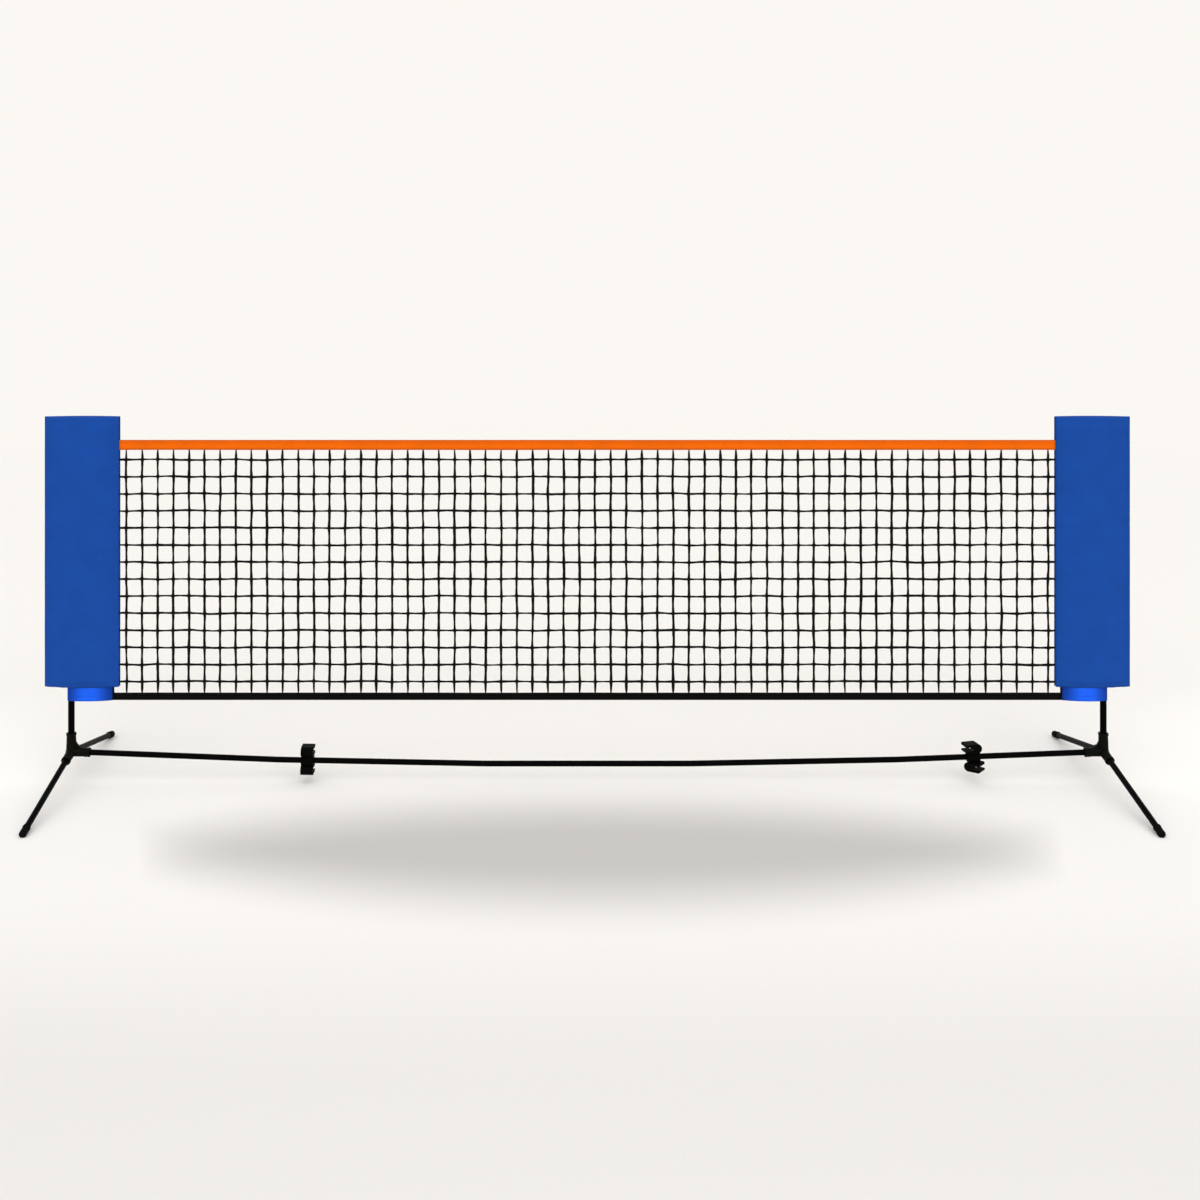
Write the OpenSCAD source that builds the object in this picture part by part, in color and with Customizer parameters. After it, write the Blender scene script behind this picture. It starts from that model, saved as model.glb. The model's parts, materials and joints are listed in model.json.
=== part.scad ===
// Portable pickleball net: a self-standing tube stand with a net that slips over its two posts.
// Millimetres. The origin is on the floor under the middle of the net: +X runs along the net to the
// right, +Y runs to the back and +Z is up. Each end is drawn in a frame of its own, whose +X points
// to the middle of the net, and the right end is the mirror image of the left one.

/* [Stand] */
// Distance between the axes of the two posts
post_spacing = 2900; // [2400:10:3600]
// Height of the corner fittings' centres above the floor
joint_height = 86; // [80:1:110]
// Height of the tops of the posts, without their caps
post_top = 1018; // [990:1:1200]
// Outer diameter of the post tubes
post_od = 18; // [16:0.5:20]
// Wall of the post tubes
post_wall = 1.2; // [0.8:0.1:1.6]
// Outer diameter of the tubes of the base bar and of the feet
bar_od = 16; // [14:0.5:18]
// Wall of the tubes of the base bar and of the feet
bar_wall = 1.2; // [0.8:0.1:1.6]
// How far the net's pull bows the middle of the base bar down
bar_sag = 35; // [0:1:36]
// Distance from a post's axis to the middle of a foot's sole, measured on the floor
foot_reach = 400; // [300:5:500]
// Height at which the lower post tube ends and the upper one begins
post_split = 560; // [400:5:700]

/* [Corner fitting] */
// Distance from the fitting's centre to the mouths of its sockets
socket_reach = 53; // [46:1:64]
// Distance from the fitting's centre to the bottoms of its sockets
socket_floor = 12; // [12:0.5:16]
// Wall of a socket at its mouth
socket_wall = 3.6; // [3:0.1:5]
// How much thicker a socket is at its root than at its mouth
socket_taper = 1.4; // [0.5:0.1:3]
// How far the rim stands out at a socket's mouth
rim_proud = 1.3; // [0.5:0.1:2.5]
// Width of that rim
rim_width = 6; // [4:0.5:9]
// Radius of the curved web between the post socket and the bar socket
web_radius = 27; // [16:1:31]
// Radius of the curved webs between the post socket and the foot sockets
side_web_radius = 24; // [16:1:31]
// Thickness of the webs
web_thick = 8; // [4:0.5:12]

/* [Foot boot] */
// Wall of the rubber boot on a foot's end
boot_wall = 1.5; // [1.3:0.1:2.5]
// Thickness of its flat sole under the tube
sole_thick = 0.8; // [0.7:0.1:1]
// How far the boot reaches back along the tube from the middle of its sole
boot_grip = 26; // [18:1:40]
// How far the boot reaches past the middle of its sole
boot_toe = 11; // [8:0.5:14]

/* [Tube clips] */
// Length of a clip's collar and jaws along the tube that they hold
clip_length = 35; // [24:1:44]
// Width of the collar across the bar
collar_width = 26; // [24:0.5:30]
// Height of the collar, from the seat of one jaw to the seat of the other
collar_height = 26; // [26:0.5:33]
// Height of a jaw above its seat
jaw_height = 25.5; // [25:0.5:30]
// How far a jaw's lips reach in front of the axis that it turns on
jaw_front = 26; // [20:0.5:28]
// How far a jaw's round back reaches behind that axis
jaw_back = 20; // [18:0.5:22]
// Gap between a jaw's lips, which is less than the tube's diameter, so that the tube snaps in
jaw_throat = 9.5; // [9:0.5:13]
// Diameter of the rivet that a jaw turns on
rivet_d = 5; // [4:0.5:5]
// Distance of the left clip from the joint between the first two bar tubes
left_clip_offset = 84; // [40:1:200]
// Distance of the right clip from the joint between the last two bar tubes
right_clip_offset = 214; // [40:1:240]
// Turn of the left clip's upper jaw, in degrees: at 0 its mouth faces the back
left_upper_turn = 0; // [0:5:355]
// Turn of the left clip's lower jaw, in degrees: at 0 its mouth faces the front
left_lower_turn = 180; // [0:5:355]
// Turn of the right clip's upper jaw, in degrees: at 0 its mouth faces the back
right_upper_turn = 100; // [0:5:355]
// Turn of the right clip's lower jaw, in degrees: at 0 its mouth faces the front
right_lower_turn = 50; // [0:5:355]

/* [Net] */
// Height of the net's top edge
net_top = 962; // [930:1:985]
// Height of the net's bottom edge
net_bottom = 231; // [200:1:260]
// Height of the orange top tape
top_tape_height = 28; // [20:1:40]
// Height of the black bottom tape
bottom_tape_height = 20; // [16:1:30]
// Distance between two upright strings of the mesh
mesh_pitch_x = 43.9; // [40:0.1:46]
// Distance between two level strings of the mesh
mesh_pitch_z = 48; // [44:0.5:49]
// Width of a string as seen from the front
string_width = 5; // [2:0.5:6]
// Depth of the mesh, front to back
string_depth = 3.2; // [2:0.1:4]
// Diameter of the cords inside the top and bottom tapes
tape_cord_d = 5.2; // [4:0.1:6]
// Thickness of the cloth of the tapes and the sleeves
cloth = 1.2; // [0.8:0.1:1.6]

/* [Sleeves and covers] */
// Width of the sleeve, from the post's axis to its seam with the net
sleeve_width = 116; // [100:1:130]
// Distance from the post's axis to the cover's outer edge
cover_outer = 74; // [50:1:90]
// Distance from the post's axis to the cover's inner edge
cover_inner = 136; // [134:1:160]
// Height of the cover's bottom edge
cover_bottom = 270; // [262:1:300]
// Thickness of the cover's cloth
cover_thick = 2; // [1.2:0.1:3]
// How far the padding makes each side of a sleeve swell
sleeve_belly = 9; // [0:0.5:12]

/* [Hidden] */
$fn = 64;

// Clearances
slide_fit = 0.2;     // a tube in a socket or in a clip's collar, on the radius
snug_fit = 0.1;      // rubber, cloth and cord on what they hold
seat_gap = 0.3;      // between two ends that meet
rivet_fit = 0.15;    // a jaw's hole round its rivet, on the radius
press_fit = 0.02;    // a rivet or screw in its own hole, on the radius
post_slack = 0.4;    // the sleeve round the post
cover_slack = 2;     // the cover over the middle of the sleeve's padding
cut = 1;             // how far a cut runs past a face

// Bar
sections = 5;
half_span = post_spacing / 2;
section_step = post_spacing / sections;
connector_reach = 55; // how far a connector runs into each of its two tubes
post_spigot = 50;     // how far the lower post tube runs into the upper one
swage = 6;            // length of the step down to that spigot

function bar_sag_at(x) = bar_sag * (1 - pow(x / half_span, 2));
function bar_joint(i) =
    let (x = -half_span + i * section_step) [x, 0, joint_height - bar_sag_at(x)];
function tilt_of(from, to) = atan2((to - from).x, (to - from).z);
function bar_tilt(i) = tilt_of(bar_joint(i - 1), bar_joint(i));
function bar_run(i) = norm(bar_joint(i) - bar_joint(i - 1));

bar_slope = bar_tilt(1) - 90;                        // how steeply the end tubes run down
half_bend = (bar_tilt(1) - bar_tilt(2)) / 2;         // half the turn at a joint of the bar
connector_d = bar_od - 2 * bar_wall - 2 * connector_reach * tan(abs(half_bend)) - 2 * snug_fit;
end_trim = seat_gap / 2 + bar_od / 2 * tan(abs(half_bend));

// Feet
boot_r = bar_od / 2 + snug_fit + boot_wall;
boot_axis = bar_od / 2 + snug_fit + sole_thick; // height of the tube's axis over the sole
boot_rim = 0.8;       // how far the boot's rim stands out
boot_rim_width = 2.4; // width of that rim
toe_round = 5;        // rounding of the boot's end
tube_short = 3;       // how far the tube stops short of the middle of the sole
foot_slope = atan2(joint_height - boot_axis, foot_reach);
foot_run = norm([foot_reach, joint_height - boot_axis]);

// Fitting
screw_d = 4;
screw_head_d = 7.6;
screw_head_height = 2.4;
screw_at = 40;        // distance of the screw from the fitting's centre
screw_bite = 4;       // how far the screw runs into the tube
screw_sink = 1;       // how far the screw's head is let into the socket's wall
hub_core = 5;         // distance from the fitting's centre at which the sockets' walls begin
hub_extra = 1.5;      // how far the hub stands out past the sockets' roots
edge_break = 1;       // bevels at mouths and rims
function socket_r(tube_d) = tube_d / 2 + slide_fit + socket_wall;

// Clips
rivet_head_d = 9;
rivet_head_height = 1.8;
collar_skin = 0.8;    // what a rivet's hole leaves of the collar's wall
rivet_bite = collar_height / 2 - bar_od / 2 - slide_fit - collar_skin; // its depth there
jaw_bore_r = bar_od / 2 + seat_gap;
jaw_axis = jaw_height / 2; // height of the held tube's axis above the jaw's seat
jaw_floor = jaw_axis - jaw_bore_r;
jaw_bend = jaw_height / 2 - jaw_back; // place of the axis of a jaw's round back
clip_round = 3;       // how much of a corner the rounding takes off
lip_bevel = 2.5;      // bevel on the outside of each lip
lip_flare = 1;        // how far each lip opens at its tip

// Net: the solid mesh draws every second string, at its real place
string_skip = 2;
strings = 2 * floor((half_span - cover_inner + mesh_pitch_x / 2) / mesh_pitch_x);
string_rows = floor((net_top - top_tape_height - net_bottom - bottom_tape_height) / mesh_pitch_z);
first_gap = 31.7;     // from the bottom tape's upper edge to the lowest level string
first_row = net_bottom + bottom_tape_height + first_gap;
net_half = half_span - sleeve_width;
edge_hidden = 5;      // how far a tape laps past the mesh's own edge inside it
border = 3;           // width of the mesh's selvedge
fold_r = tape_cord_d / 2 + snug_fit + cloth;
tape_half = string_depth / 2 + snug_fit + cloth;

// Sleeves and covers
seam = 6;             // width of a sewn seam
loop_steps = 10;      // facets of a quarter of the round end of a sleeve
side_steps = 16;      // facets of a side of a sleeve
cover_steps = 24;     // facets of a side of a cover
sleeve_r = post_od / 2 + post_slack + cloth;
sleeve_end = tape_half;
cover_end = fold_r + seat_gap + cover_thick;
cap_height = 8;
cap_plug = 18;        // how far the cap's plug runs into the tube
cap_round = 3;        // how much of the cap's edge its rounding takes off
cover_belly = sleeve_belly + (sleeve_r + sleeve_end - cover_end) / 2 + cover_slack;
cover_top = post_top + cap_height + seat_gap + cover_thick;

metal = "#1a1b1d";
moulding = "#232420";
rubber = "#141414";
orange = "#f06a10";
panel_blue = "#1f4da2";
sleeve_blue = "#1f5fe0";

// ---- helpers ----

module left_end() {
    translate([-half_span, 0, joint_height]) children();
}

module right_end() {
    translate([half_span, 0, joint_height]) mirror([1, 0, 0]) children();
}

// Turns +Z to the front or to the back, running down to the floor.
module along_foot(to_back) {
    rotate([(to_back ? -1 : 1) * (90 + foot_slope), 0, 0]) children();
}

// Turns +Z along the bar, from a post towards the middle of the net.
module along_bar_end() {
    rotate([0, 90 + bar_slope, 0]) children();
}

module tube(d, wall, length) {
    difference() {
        cylinder(d = d, h = length);
        translate([0, 0, -cut]) cylinder(d = d - 2 * wall, h = length + 2 * cut);
    }
}

// Half the outline of a padded sleeve: round the post at the origin with radius r, then with a
// belly down to half-thickness e at distance d along +X.
function loop_half(r, e, d, belly) = concat(
    [for (i = [0 : loop_steps]) let (a = 180 - 90 * i / loop_steps) [r * cos(a), r * sin(a)]],
    [for (i = [1 : side_steps]) let (t = i / side_steps)
        [t * d, r + t * (e - r) + belly * sin(180 * t)]]);

// Half the outline of a cover: from half-thickness e at x = -c to half-thickness f at x = d.
function lens_half(e, c, f, d, belly) =
    [for (i = [0 : cover_steps]) let (t = i / cover_steps)
        [t * (c + d) - c, e + t * (f - e) + belly * sin(180 * t)]];

function mirrored(points) = [for (i = [len(points) - 1 : -1 : 0]) [points[i].x, -points[i].y]];

// ---- corner fitting ----

module socket_boss(tube_d) {
    r = socket_r(tube_d);
    rotate_extrude() polygon([
        [0, hub_core], [r + socket_taper, hub_core],
        [r, socket_reach - rim_width - rim_proud],
        [r + rim_proud, socket_reach - rim_width],
        [r + rim_proud, socket_reach - edge_break],
        [r + rim_proud - edge_break, socket_reach], [0, socket_reach]
    ]);
}

module socket_bore(tube_d) {
    r = tube_d / 2 + slide_fit;
    translate([0, 0, socket_floor]) cylinder(r = r, h = socket_reach);
    translate([0, 0, socket_reach - edge_break])
        cylinder(r1 = r, r2 = r + edge_break + cut, h = edge_break + cut);
}

// The web that fills the corner between an upright socket and one that runs out along +X and down.
module corner_web(slope, radius, boss_r) {
    cx = boss_r + radius;
    cy = (cx - cx * sin(slope)) / cos(slope);
    along = cx * cos(slope) - cy * sin(slope);
    rotate([90, 0, 0]) linear_extrude(web_thick, center = true) difference() {
        polygon([[0, 0], [along * cos(slope), -along * sin(slope)], [cx, cy], [0, cy]]);
        translate([cx, cy]) circle(r = radius);
    }
}

module screw_frame() {
    along_bar_end() translate([0, 0, screw_at]) rotate([0, 90, 0]) children();
}

module corner_fitting() {
    hub_r = socket_r(post_od) + socket_taper + hub_extra;
    web_root = socket_r(bar_od);
    screw_seat = socket_r(bar_od) - screw_sink;
    color(moulding) difference() {
        union() {
            sphere(r = hub_r);
            socket_boss(post_od);
            along_bar_end() socket_boss(bar_od);
            for (to_back = [false, true]) along_foot(to_back) socket_boss(bar_od);
            corner_web(bar_slope, web_radius, web_root);
            for (turn = [-90, 90])
                rotate([0, 0, turn]) corner_web(foot_slope, side_web_radius, web_root);
        }
        socket_bore(post_od);
        along_bar_end() socket_bore(bar_od);
        for (to_back = [false, true]) along_foot(to_back) socket_bore(bar_od);
        screw_frame() cylinder(d = screw_d + 2 * press_fit, h = 2 * socket_r(bar_od));
        screw_frame() translate([0, 0, screw_seat])
            cylinder(d = screw_head_d + edge_break, h = socket_r(bar_od));
    }
}

module fitting_screw() {
    seat = socket_r(bar_od) - screw_sink;
    tip = bar_od / 2 - screw_bite;
    screw_frame() {
        translate([0, 0, tip]) cylinder(d = screw_d, h = seat - tip + cut);
        translate([0, 0, seat + press_fit])
            cylinder(d1 = screw_head_d, d2 = screw_head_d - 2 * edge_break, h = screw_head_height);
    }
}

module fitting_screws() {
    color("#7d7f82") {
        left_end() fitting_screw();
        right_end() fitting_screw();
    }
}

// ---- base bar ----

module along_bar(i) {
    translate(bar_joint(i - 1)) rotate([0, bar_tilt(i), 0]) children();
}

module bar_tube(i) {
    head = i == 1 ? socket_floor + seat_gap : end_trim;
    tail = i == sections ? socket_floor + seat_gap : end_trim;
    color(metal) difference() {
        along_bar(i) translate([0, 0, head]) tube(bar_od, bar_wall, bar_run(i) - head - tail);
        if (i == 1) left_end() screw_hole();
        if (i == sections) right_end() screw_hole();
    }
}

module screw_hole() {
    screw_frame() cylinder(d = screw_d + 2 * press_fit, h = bar_od);
}

module bar_connector(i) {
    color("#8b8d90") translate(bar_joint(i))
        rotate([0, (bar_tilt(i) + bar_tilt(i + 1)) / 2, 0])
            translate([0, 0, -connector_reach]) tube(connector_d, bar_wall, 2 * connector_reach);
}

// ---- posts ----

module lower_post_tube() {
    foot = socket_floor + seat_gap;
    shoulder = post_split - joint_height;
    r = post_od / 2;
    bore = r - post_wall;
    spigot = bore - slide_fit;
    color(metal) rotate_extrude() polygon([
        [bore, foot], [r, foot], [r, shoulder - swage],
        [spigot, shoulder], [spigot, shoulder + post_spigot],
        [spigot - post_wall, shoulder + post_spigot], [spigot - post_wall, shoulder],
        [bore, shoulder - swage]
    ]);
}

module upper_post_tube() {
    color(metal) translate([0, 0, post_split - joint_height])
        tube(post_od, post_wall, post_top - post_split);
}

module post_cap() {
    r = post_od / 2;
    plug = r - post_wall - snug_fit;
    color(rubber) translate([0, 0, post_top - joint_height]) rotate_extrude() polygon([
        [0, -cap_plug], [plug - edge_break, -cap_plug], [plug, edge_break - cap_plug], [plug, 0],
        [r, 0], [r, cap_height - cap_round], [r - edge_break, cap_height - edge_break],
        [r - cap_round, cap_height],
        [0, cap_height]
    ]);
}

// ---- feet ----

module foot_tube(to_back) {
    start = socket_floor + seat_gap;
    color(metal) along_foot(to_back) translate([0, 0, start])
        tube(bar_od, bar_wall, foot_run - tube_short - start);
}

module foot_boot(to_back) {
    toe = [for (a = [0 : 15 : 90])
        [boot_r - toe_round + toe_round * cos(a), boot_toe - toe_round + toe_round * sin(a)]];
    profile = concat([
        [0, -boot_grip], [boot_r + boot_rim, -boot_grip],
        [boot_r + boot_rim, boot_rim_width - boot_grip],
        [boot_r, boot_rim_width + boot_rim - boot_grip]
    ], toe, [[0, boot_toe]]);
    below = 4 * boot_grip;
    color(rubber) difference() {
        along_foot(to_back) translate([0, 0, foot_run]) difference() {
            rotate_extrude() polygon(profile);
            translate([0, 0, -boot_grip - cut])
                cylinder(d = bar_od + 2 * snug_fit, h = boot_grip + cut - tube_short + snug_fit);
        }
        translate([0, (to_back ? 1 : -1) * foot_reach, -joint_height - below / 2])
            cube(below, center = true);
    }
}

// ---- tube clips ----

// The middle of a clip on bar tube i, at a distance from that tube's left end, with +X along the
// bar and +Z square to it.
module on_bar(i, distance) {
    along_bar(i) translate([0, 0, distance]) rotate([0, -90, 0]) children();
}

module left_clip_place() {
    on_bar(2, left_clip_offset) children();
}

module right_clip_place() {
    on_bar(sections, right_clip_offset) children();
}

// Draws a half of the clip on the upper seat, or turned over onto the lower one.
module on_seat(upper) {
    rotate([upper ? 0 : 180, 0, 0]) translate([0, 0, collar_height / 2]) children();
}

module rounded_block(width, height) {
    corner = norm([width / 2, height / 2]);
    intersection() {
        square([width, height], center = true);
        circle(r = corner - clip_round);
    }
}

module clip_collar() {
    color(moulding) difference() {
        rotate([90, 0, 90]) linear_extrude(clip_length, center = true) difference() {
            rounded_block(collar_width, collar_height);
            circle(d = bar_od + 2 * slide_fit);
        }
        for (upper = [true, false]) on_seat(upper) translate([0, 0, -rivet_bite])
            cylinder(d = rivet_d + 2 * press_fit, h = rivet_bite + cut);
    }
}

// A jaw's section: the tube that it holds runs square to it, and its mouth opens along +X.
module jaw_section() {
    half_mouth = jaw_throat / 2 + lip_flare;
    difference() {
        union() {
            translate([jaw_bend, jaw_axis]) circle(d = jaw_height);
            polygon([
                [jaw_bend, 0], [jaw_front - lip_bevel, 0], [jaw_front, lip_bevel],
                [jaw_front, jaw_height - lip_bevel], [jaw_front - lip_bevel, jaw_height],
                [jaw_bend, jaw_height]
            ]);
        }
        translate([0, jaw_axis]) circle(r = jaw_bore_r);
        translate([0, jaw_axis]) polygon([
            [0, jaw_throat / 2], [jaw_bore_r + cut, jaw_throat / 2],
            [jaw_front + cut, half_mouth], [jaw_front + cut, -half_mouth],
            [jaw_bore_r + cut, -jaw_throat / 2], [0, -jaw_throat / 2]
        ]);
    }
}

// A jaw on its seat, with its mouth to +Y.
module jaw() {
    color(moulding) translate([0, 0, seat_gap]) difference() {
        rotate([90, 0, 90]) linear_extrude(clip_length, center = true) jaw_section();
        translate([0, 0, -cut]) cylinder(d = rivet_d + 2 * rivet_fit, h = jaw_axis);
        translate([0, 0, jaw_floor - rivet_head_height - rivet_fit])
            cylinder(d = rivet_head_d + 2 * rivet_fit, h = jaw_axis - jaw_floor);
    }
}

module clip_rivets() {
    head = seat_gap + jaw_floor - rivet_head_height;
    color("#8b8d90") for (upper = [true, false]) on_seat(upper) {
        translate([0, 0, press_fit - rivet_bite]) cylinder(d = rivet_d, h = rivet_bite + head + cut);
        translate([0, 0, head])
            cylinder(d1 = rivet_head_d, d2 = rivet_head_d - edge_break, h = rivet_head_height);
    }
}

// ---- net ----

function is_drawn(i) = i % string_skip == 0;
function string_x(i) = (i - (strings - 1) / 2) * mesh_pitch_x;
function string_z(i) = first_row + i * mesh_pitch_z;

module net_mesh() {
    low = net_bottom + tape_cord_d + 2 * cloth + snug_fit;
    high = net_top - tape_cord_d - 2 * cloth - snug_fit;
    inner = net_half - border;
    posts = [for (i = [0 : strings - 1]) if (is_drawn(i)) string_x(i)];
    rows = [for (i = [0 : string_rows - 1]) if (is_drawn(i)) string_z(i)];
    left_edges = concat([-inner], [for (x = posts) x + string_width / 2]);
    right_edges = concat([for (x = posts) x - string_width / 2], [inner]);
    low_edges = concat([net_bottom + bottom_tape_height - edge_hidden],
                       [for (z = rows) z + string_width / 2]);
    high_edges = concat([for (z = rows) z - string_width / 2],
                        [net_top - top_tape_height + edge_hidden]);
    color("#26272b") rotate([90, 0, 0]) linear_extrude(string_depth, center = true) difference() {
        translate([-net_half, low]) square([2 * net_half, high - low]);
        for (i = [0 : len(posts)], j = [0 : len(rows)])
            translate([left_edges[i], low_edges[j]])
                square([right_edges[i] - left_edges[i], high_edges[j] - low_edges[j]]);
    }
}

// A folded tape along the net with its cord in the fold, at the origin, and its two layers hanging.
module folded_tape(height) {
    slot = string_depth / 2 + snug_fit;
    rotate([90, 0, 90]) linear_extrude(2 * net_half, center = true) difference() {
        union() {
            circle(r = fold_r);
            translate([-tape_half, -height + fold_r]) square([2 * tape_half, height - fold_r]);
        }
        circle(r = fold_r - cloth);
        translate([-slot, -height]) square([2 * slot, height]);
    }
}

module tape_cord() {
    rotate([0, 90, 0]) cylinder(d = tape_cord_d, h = 2 * net_half, center = true);
}

module top_fold() {
    translate([0, 0, net_top - fold_r]) children();
}

module bottom_fold() {
    translate([0, 0, net_bottom + fold_r]) rotate([180, 0, 0]) children();
}

module top_tape() {
    color(orange) top_fold() folded_tape(top_tape_height);
}

module bottom_tape() {
    color("#0c0c0d") bottom_fold() folded_tape(bottom_tape_height);
}

module top_cord() {
    color("#d8d8d4") top_fold() tape_cord();
}

module bottom_cord() {
    color("#d8d8d4") bottom_fold() tape_cord();
}

// ---- sleeves and covers ----

module sleeve() {
    outside = loop_half(sleeve_r, sleeve_end, sleeve_width, sleeve_belly);
    inside = loop_half(sleeve_r - cloth, sleeve_end - cloth, sleeve_width - seam, 0);
    color(sleeve_blue) translate([0, 0, net_bottom - joint_height])
        linear_extrude(net_top - net_bottom) difference() {
            polygon(concat(outside, mirrored(outside)));
            polygon(concat(inside, mirrored(inside)));
        }
}

module cover_shell() {
    height = cover_top - cover_bottom;
    outside = lens_half(cover_thick + snug_fit, cover_outer, cover_end, cover_inner, cover_belly);
    inside = lens_half(snug_fit, cover_outer - seam, cover_end - cover_thick, cover_inner + cut,
                       cover_belly);
    translate([0, 0, cover_bottom - joint_height]) difference() {
        linear_extrude(height) polygon(concat(outside, mirrored(outside)));
        translate([0, 0, -cut]) linear_extrude(height - cover_thick + cut)
            polygon(concat(inside, mirrored(inside)));
    }
}

// One half of a cover, which is sewn to the other along the outer edge and the top.
module cover_half(to_back) {
    size = 2 * (cover_outer + cover_inner);
    color(panel_blue) intersection() {
        cover_shell();
        translate([-size / 2, to_back ? 0 : -size, -joint_height])
            cube([size, size, cover_top + joint_height]);
    }
}

// ---- nodes ----

left_end() corner_fitting();  // left_corner_fitting
right_end() corner_fitting();  // right_corner_fitting
fitting_screws();
for (i = [1 : sections])
    bar_tube(i);
for (i = [1 : sections - 1])
    bar_connector(i);
left_end() lower_post_tube();  // left_lower_post_tube
left_end() upper_post_tube();  // left_upper_post_tube
left_end() post_cap();  // left_post_cap
right_end() lower_post_tube();  // right_lower_post_tube
right_end() upper_post_tube();  // right_upper_post_tube
right_end() post_cap();  // right_post_cap
left_end() foot_tube(false);  // left_front_foot_tube
left_end() foot_boot(false);  // left_front_foot_boot
left_end() foot_tube(true);  // left_back_foot_tube
left_end() foot_boot(true);  // left_back_foot_boot
right_end() foot_tube(false);  // right_front_foot_tube
right_end() foot_boot(false);  // right_front_foot_boot
right_end() foot_tube(true);  // right_back_foot_tube
right_end() foot_boot(true);  // right_back_foot_boot
left_clip_place() clip_collar();  // left_clip_collar
left_clip_place() rotate([0, 0, left_upper_turn]) on_seat(true) jaw();  // left_clip_upper_jaw
left_clip_place() rotate([0, 0, left_lower_turn]) on_seat(false) jaw();  // left_clip_lower_jaw
left_clip_place() clip_rivets();  // left_clip_rivets
right_clip_place() clip_collar();  // right_clip_collar
right_clip_place() rotate([0, 0, right_upper_turn]) on_seat(true) jaw();  // right_clip_upper_jaw
right_clip_place() rotate([0, 0, right_lower_turn]) on_seat(false) jaw();  // right_clip_lower_jaw
right_clip_place() clip_rivets();  // right_clip_rivets
net_mesh();
top_tape();
top_cord();
bottom_tape();
bottom_cord();
left_end() sleeve();  // left_sleeve
right_end() sleeve();  // right_sleeve
left_end() cover_half(false);  // left_cover_front
left_end() cover_half(true);  // left_cover_back
right_end() cover_half(false);  // right_cover_front
right_end() cover_half(true);  // right_cover_back
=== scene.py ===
import json
import math

import bmesh
import bpy
import numpy as np
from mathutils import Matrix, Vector, noise

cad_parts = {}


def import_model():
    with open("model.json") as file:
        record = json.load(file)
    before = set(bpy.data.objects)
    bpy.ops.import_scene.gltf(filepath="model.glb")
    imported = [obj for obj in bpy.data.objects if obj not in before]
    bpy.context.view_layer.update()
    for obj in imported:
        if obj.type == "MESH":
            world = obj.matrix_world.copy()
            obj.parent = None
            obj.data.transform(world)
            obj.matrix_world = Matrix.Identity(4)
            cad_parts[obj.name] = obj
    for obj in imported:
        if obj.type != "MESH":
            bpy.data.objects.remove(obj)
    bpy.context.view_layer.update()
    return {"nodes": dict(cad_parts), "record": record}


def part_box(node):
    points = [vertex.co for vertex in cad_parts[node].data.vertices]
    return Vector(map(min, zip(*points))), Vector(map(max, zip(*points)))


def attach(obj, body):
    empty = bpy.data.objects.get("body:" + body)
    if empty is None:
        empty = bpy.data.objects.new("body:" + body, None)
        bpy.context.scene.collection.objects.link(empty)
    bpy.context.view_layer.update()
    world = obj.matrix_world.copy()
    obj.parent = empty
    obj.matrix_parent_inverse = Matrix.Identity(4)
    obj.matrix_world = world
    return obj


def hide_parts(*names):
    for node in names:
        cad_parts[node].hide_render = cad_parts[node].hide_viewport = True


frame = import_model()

# A portable pickleball net, in metres: +X along the net to the right, +Y to the back, +Z up, with
# the origin on the floor under the middle of the net. Tubes, fittings, boots, caps, clips, rivets
# and screws are the frame's own; the mesh, tapes, cords, sleeves and covers are made here, each in
# its solid's place.

# ---- places taken from the frame ----


def low(node):
    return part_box(node)[0]


def high(node):
    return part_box(node)[1]


POST_X = (low("right_lower_post_tube").x + high("right_lower_post_tube").x) / 2
NET_HALF = high("net_mesh").x
TOP_TAPE_Z = (low("top_tape").z, high("top_tape").z)
BOTTOM_TAPE_Z = (low("bottom_tape").z, high("bottom_tape").z)
SLEEVE_X = (low("right_sleeve").x, high("right_sleeve").x)
SLEEVE_Z = (low("left_sleeve").z, high("left_sleeve").z)
COVER_Z = (low("left_cover_front").z, high("left_cover_front").z)
SLEEVE_WIDTH = POST_X - NET_HALF
COVER_OUTER = high("right_cover_front").x - POST_X
COVER_INNER = POST_X - low("right_cover_front").x
CORD_R = (high("top_cord").z - low("top_cord").z) / 2

# ---- sizes of the cloth and twine, as in the part's source ----
# An END is half a sleeve's or a cover's depth at its inner end, where the net begins.

CLOTH = 0.0012
COVER_CLOTH = 0.002
SNUG = 0.0001
POST_R = 0.009
POST_SLACK = 0.0004
SLEEVE_R = POST_R + POST_SLACK + CLOTH
SLEEVE_BELLY = 0.009
SLEEVE_END = 0.0029
COVER_END = 0.0062
COVER_SLACK = 0.002
FOLD_R = CORD_R + SNUG + CLOTH
TWINE_HALF_DEPTH = 0.0016
STRINGS = 60
ROWS = 14
PITCH_X = 0.0439
PITCH_Z = 0.048
FIRST_ROW = BOTTOM_TAPE_Z[1] + 0.0317

# ---- camera ----
# In pixels of the photo: its width, its focal length, and the point straight ahead of the camera.

PHOTO_PX = 1200
FOCAL_PX = 1530
HORIZON_PX = (540, 252)
CAMERA_AT = (-0.133, -4.3, 1.49)
SENSOR_MM = 36

camera_data = bpy.data.cameras.new("camera")
camera_data.sensor_width = SENSOR_MM
camera_data.lens = FOCAL_PX / PHOTO_PX * SENSOR_MM
camera_data.shift_x = 0.5 - HORIZON_PX[0] / PHOTO_PX
camera_data.shift_y = HORIZON_PX[1] / PHOTO_PX - 0.5
camera = bpy.data.objects.new("camera", camera_data)
camera.location = CAMERA_AT
camera.rotation_euler = (math.pi / 2, 0, 0)
bpy.context.scene.collection.objects.link(camera)
bpy.context.scene.camera = camera

# ---- materials ----


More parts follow.
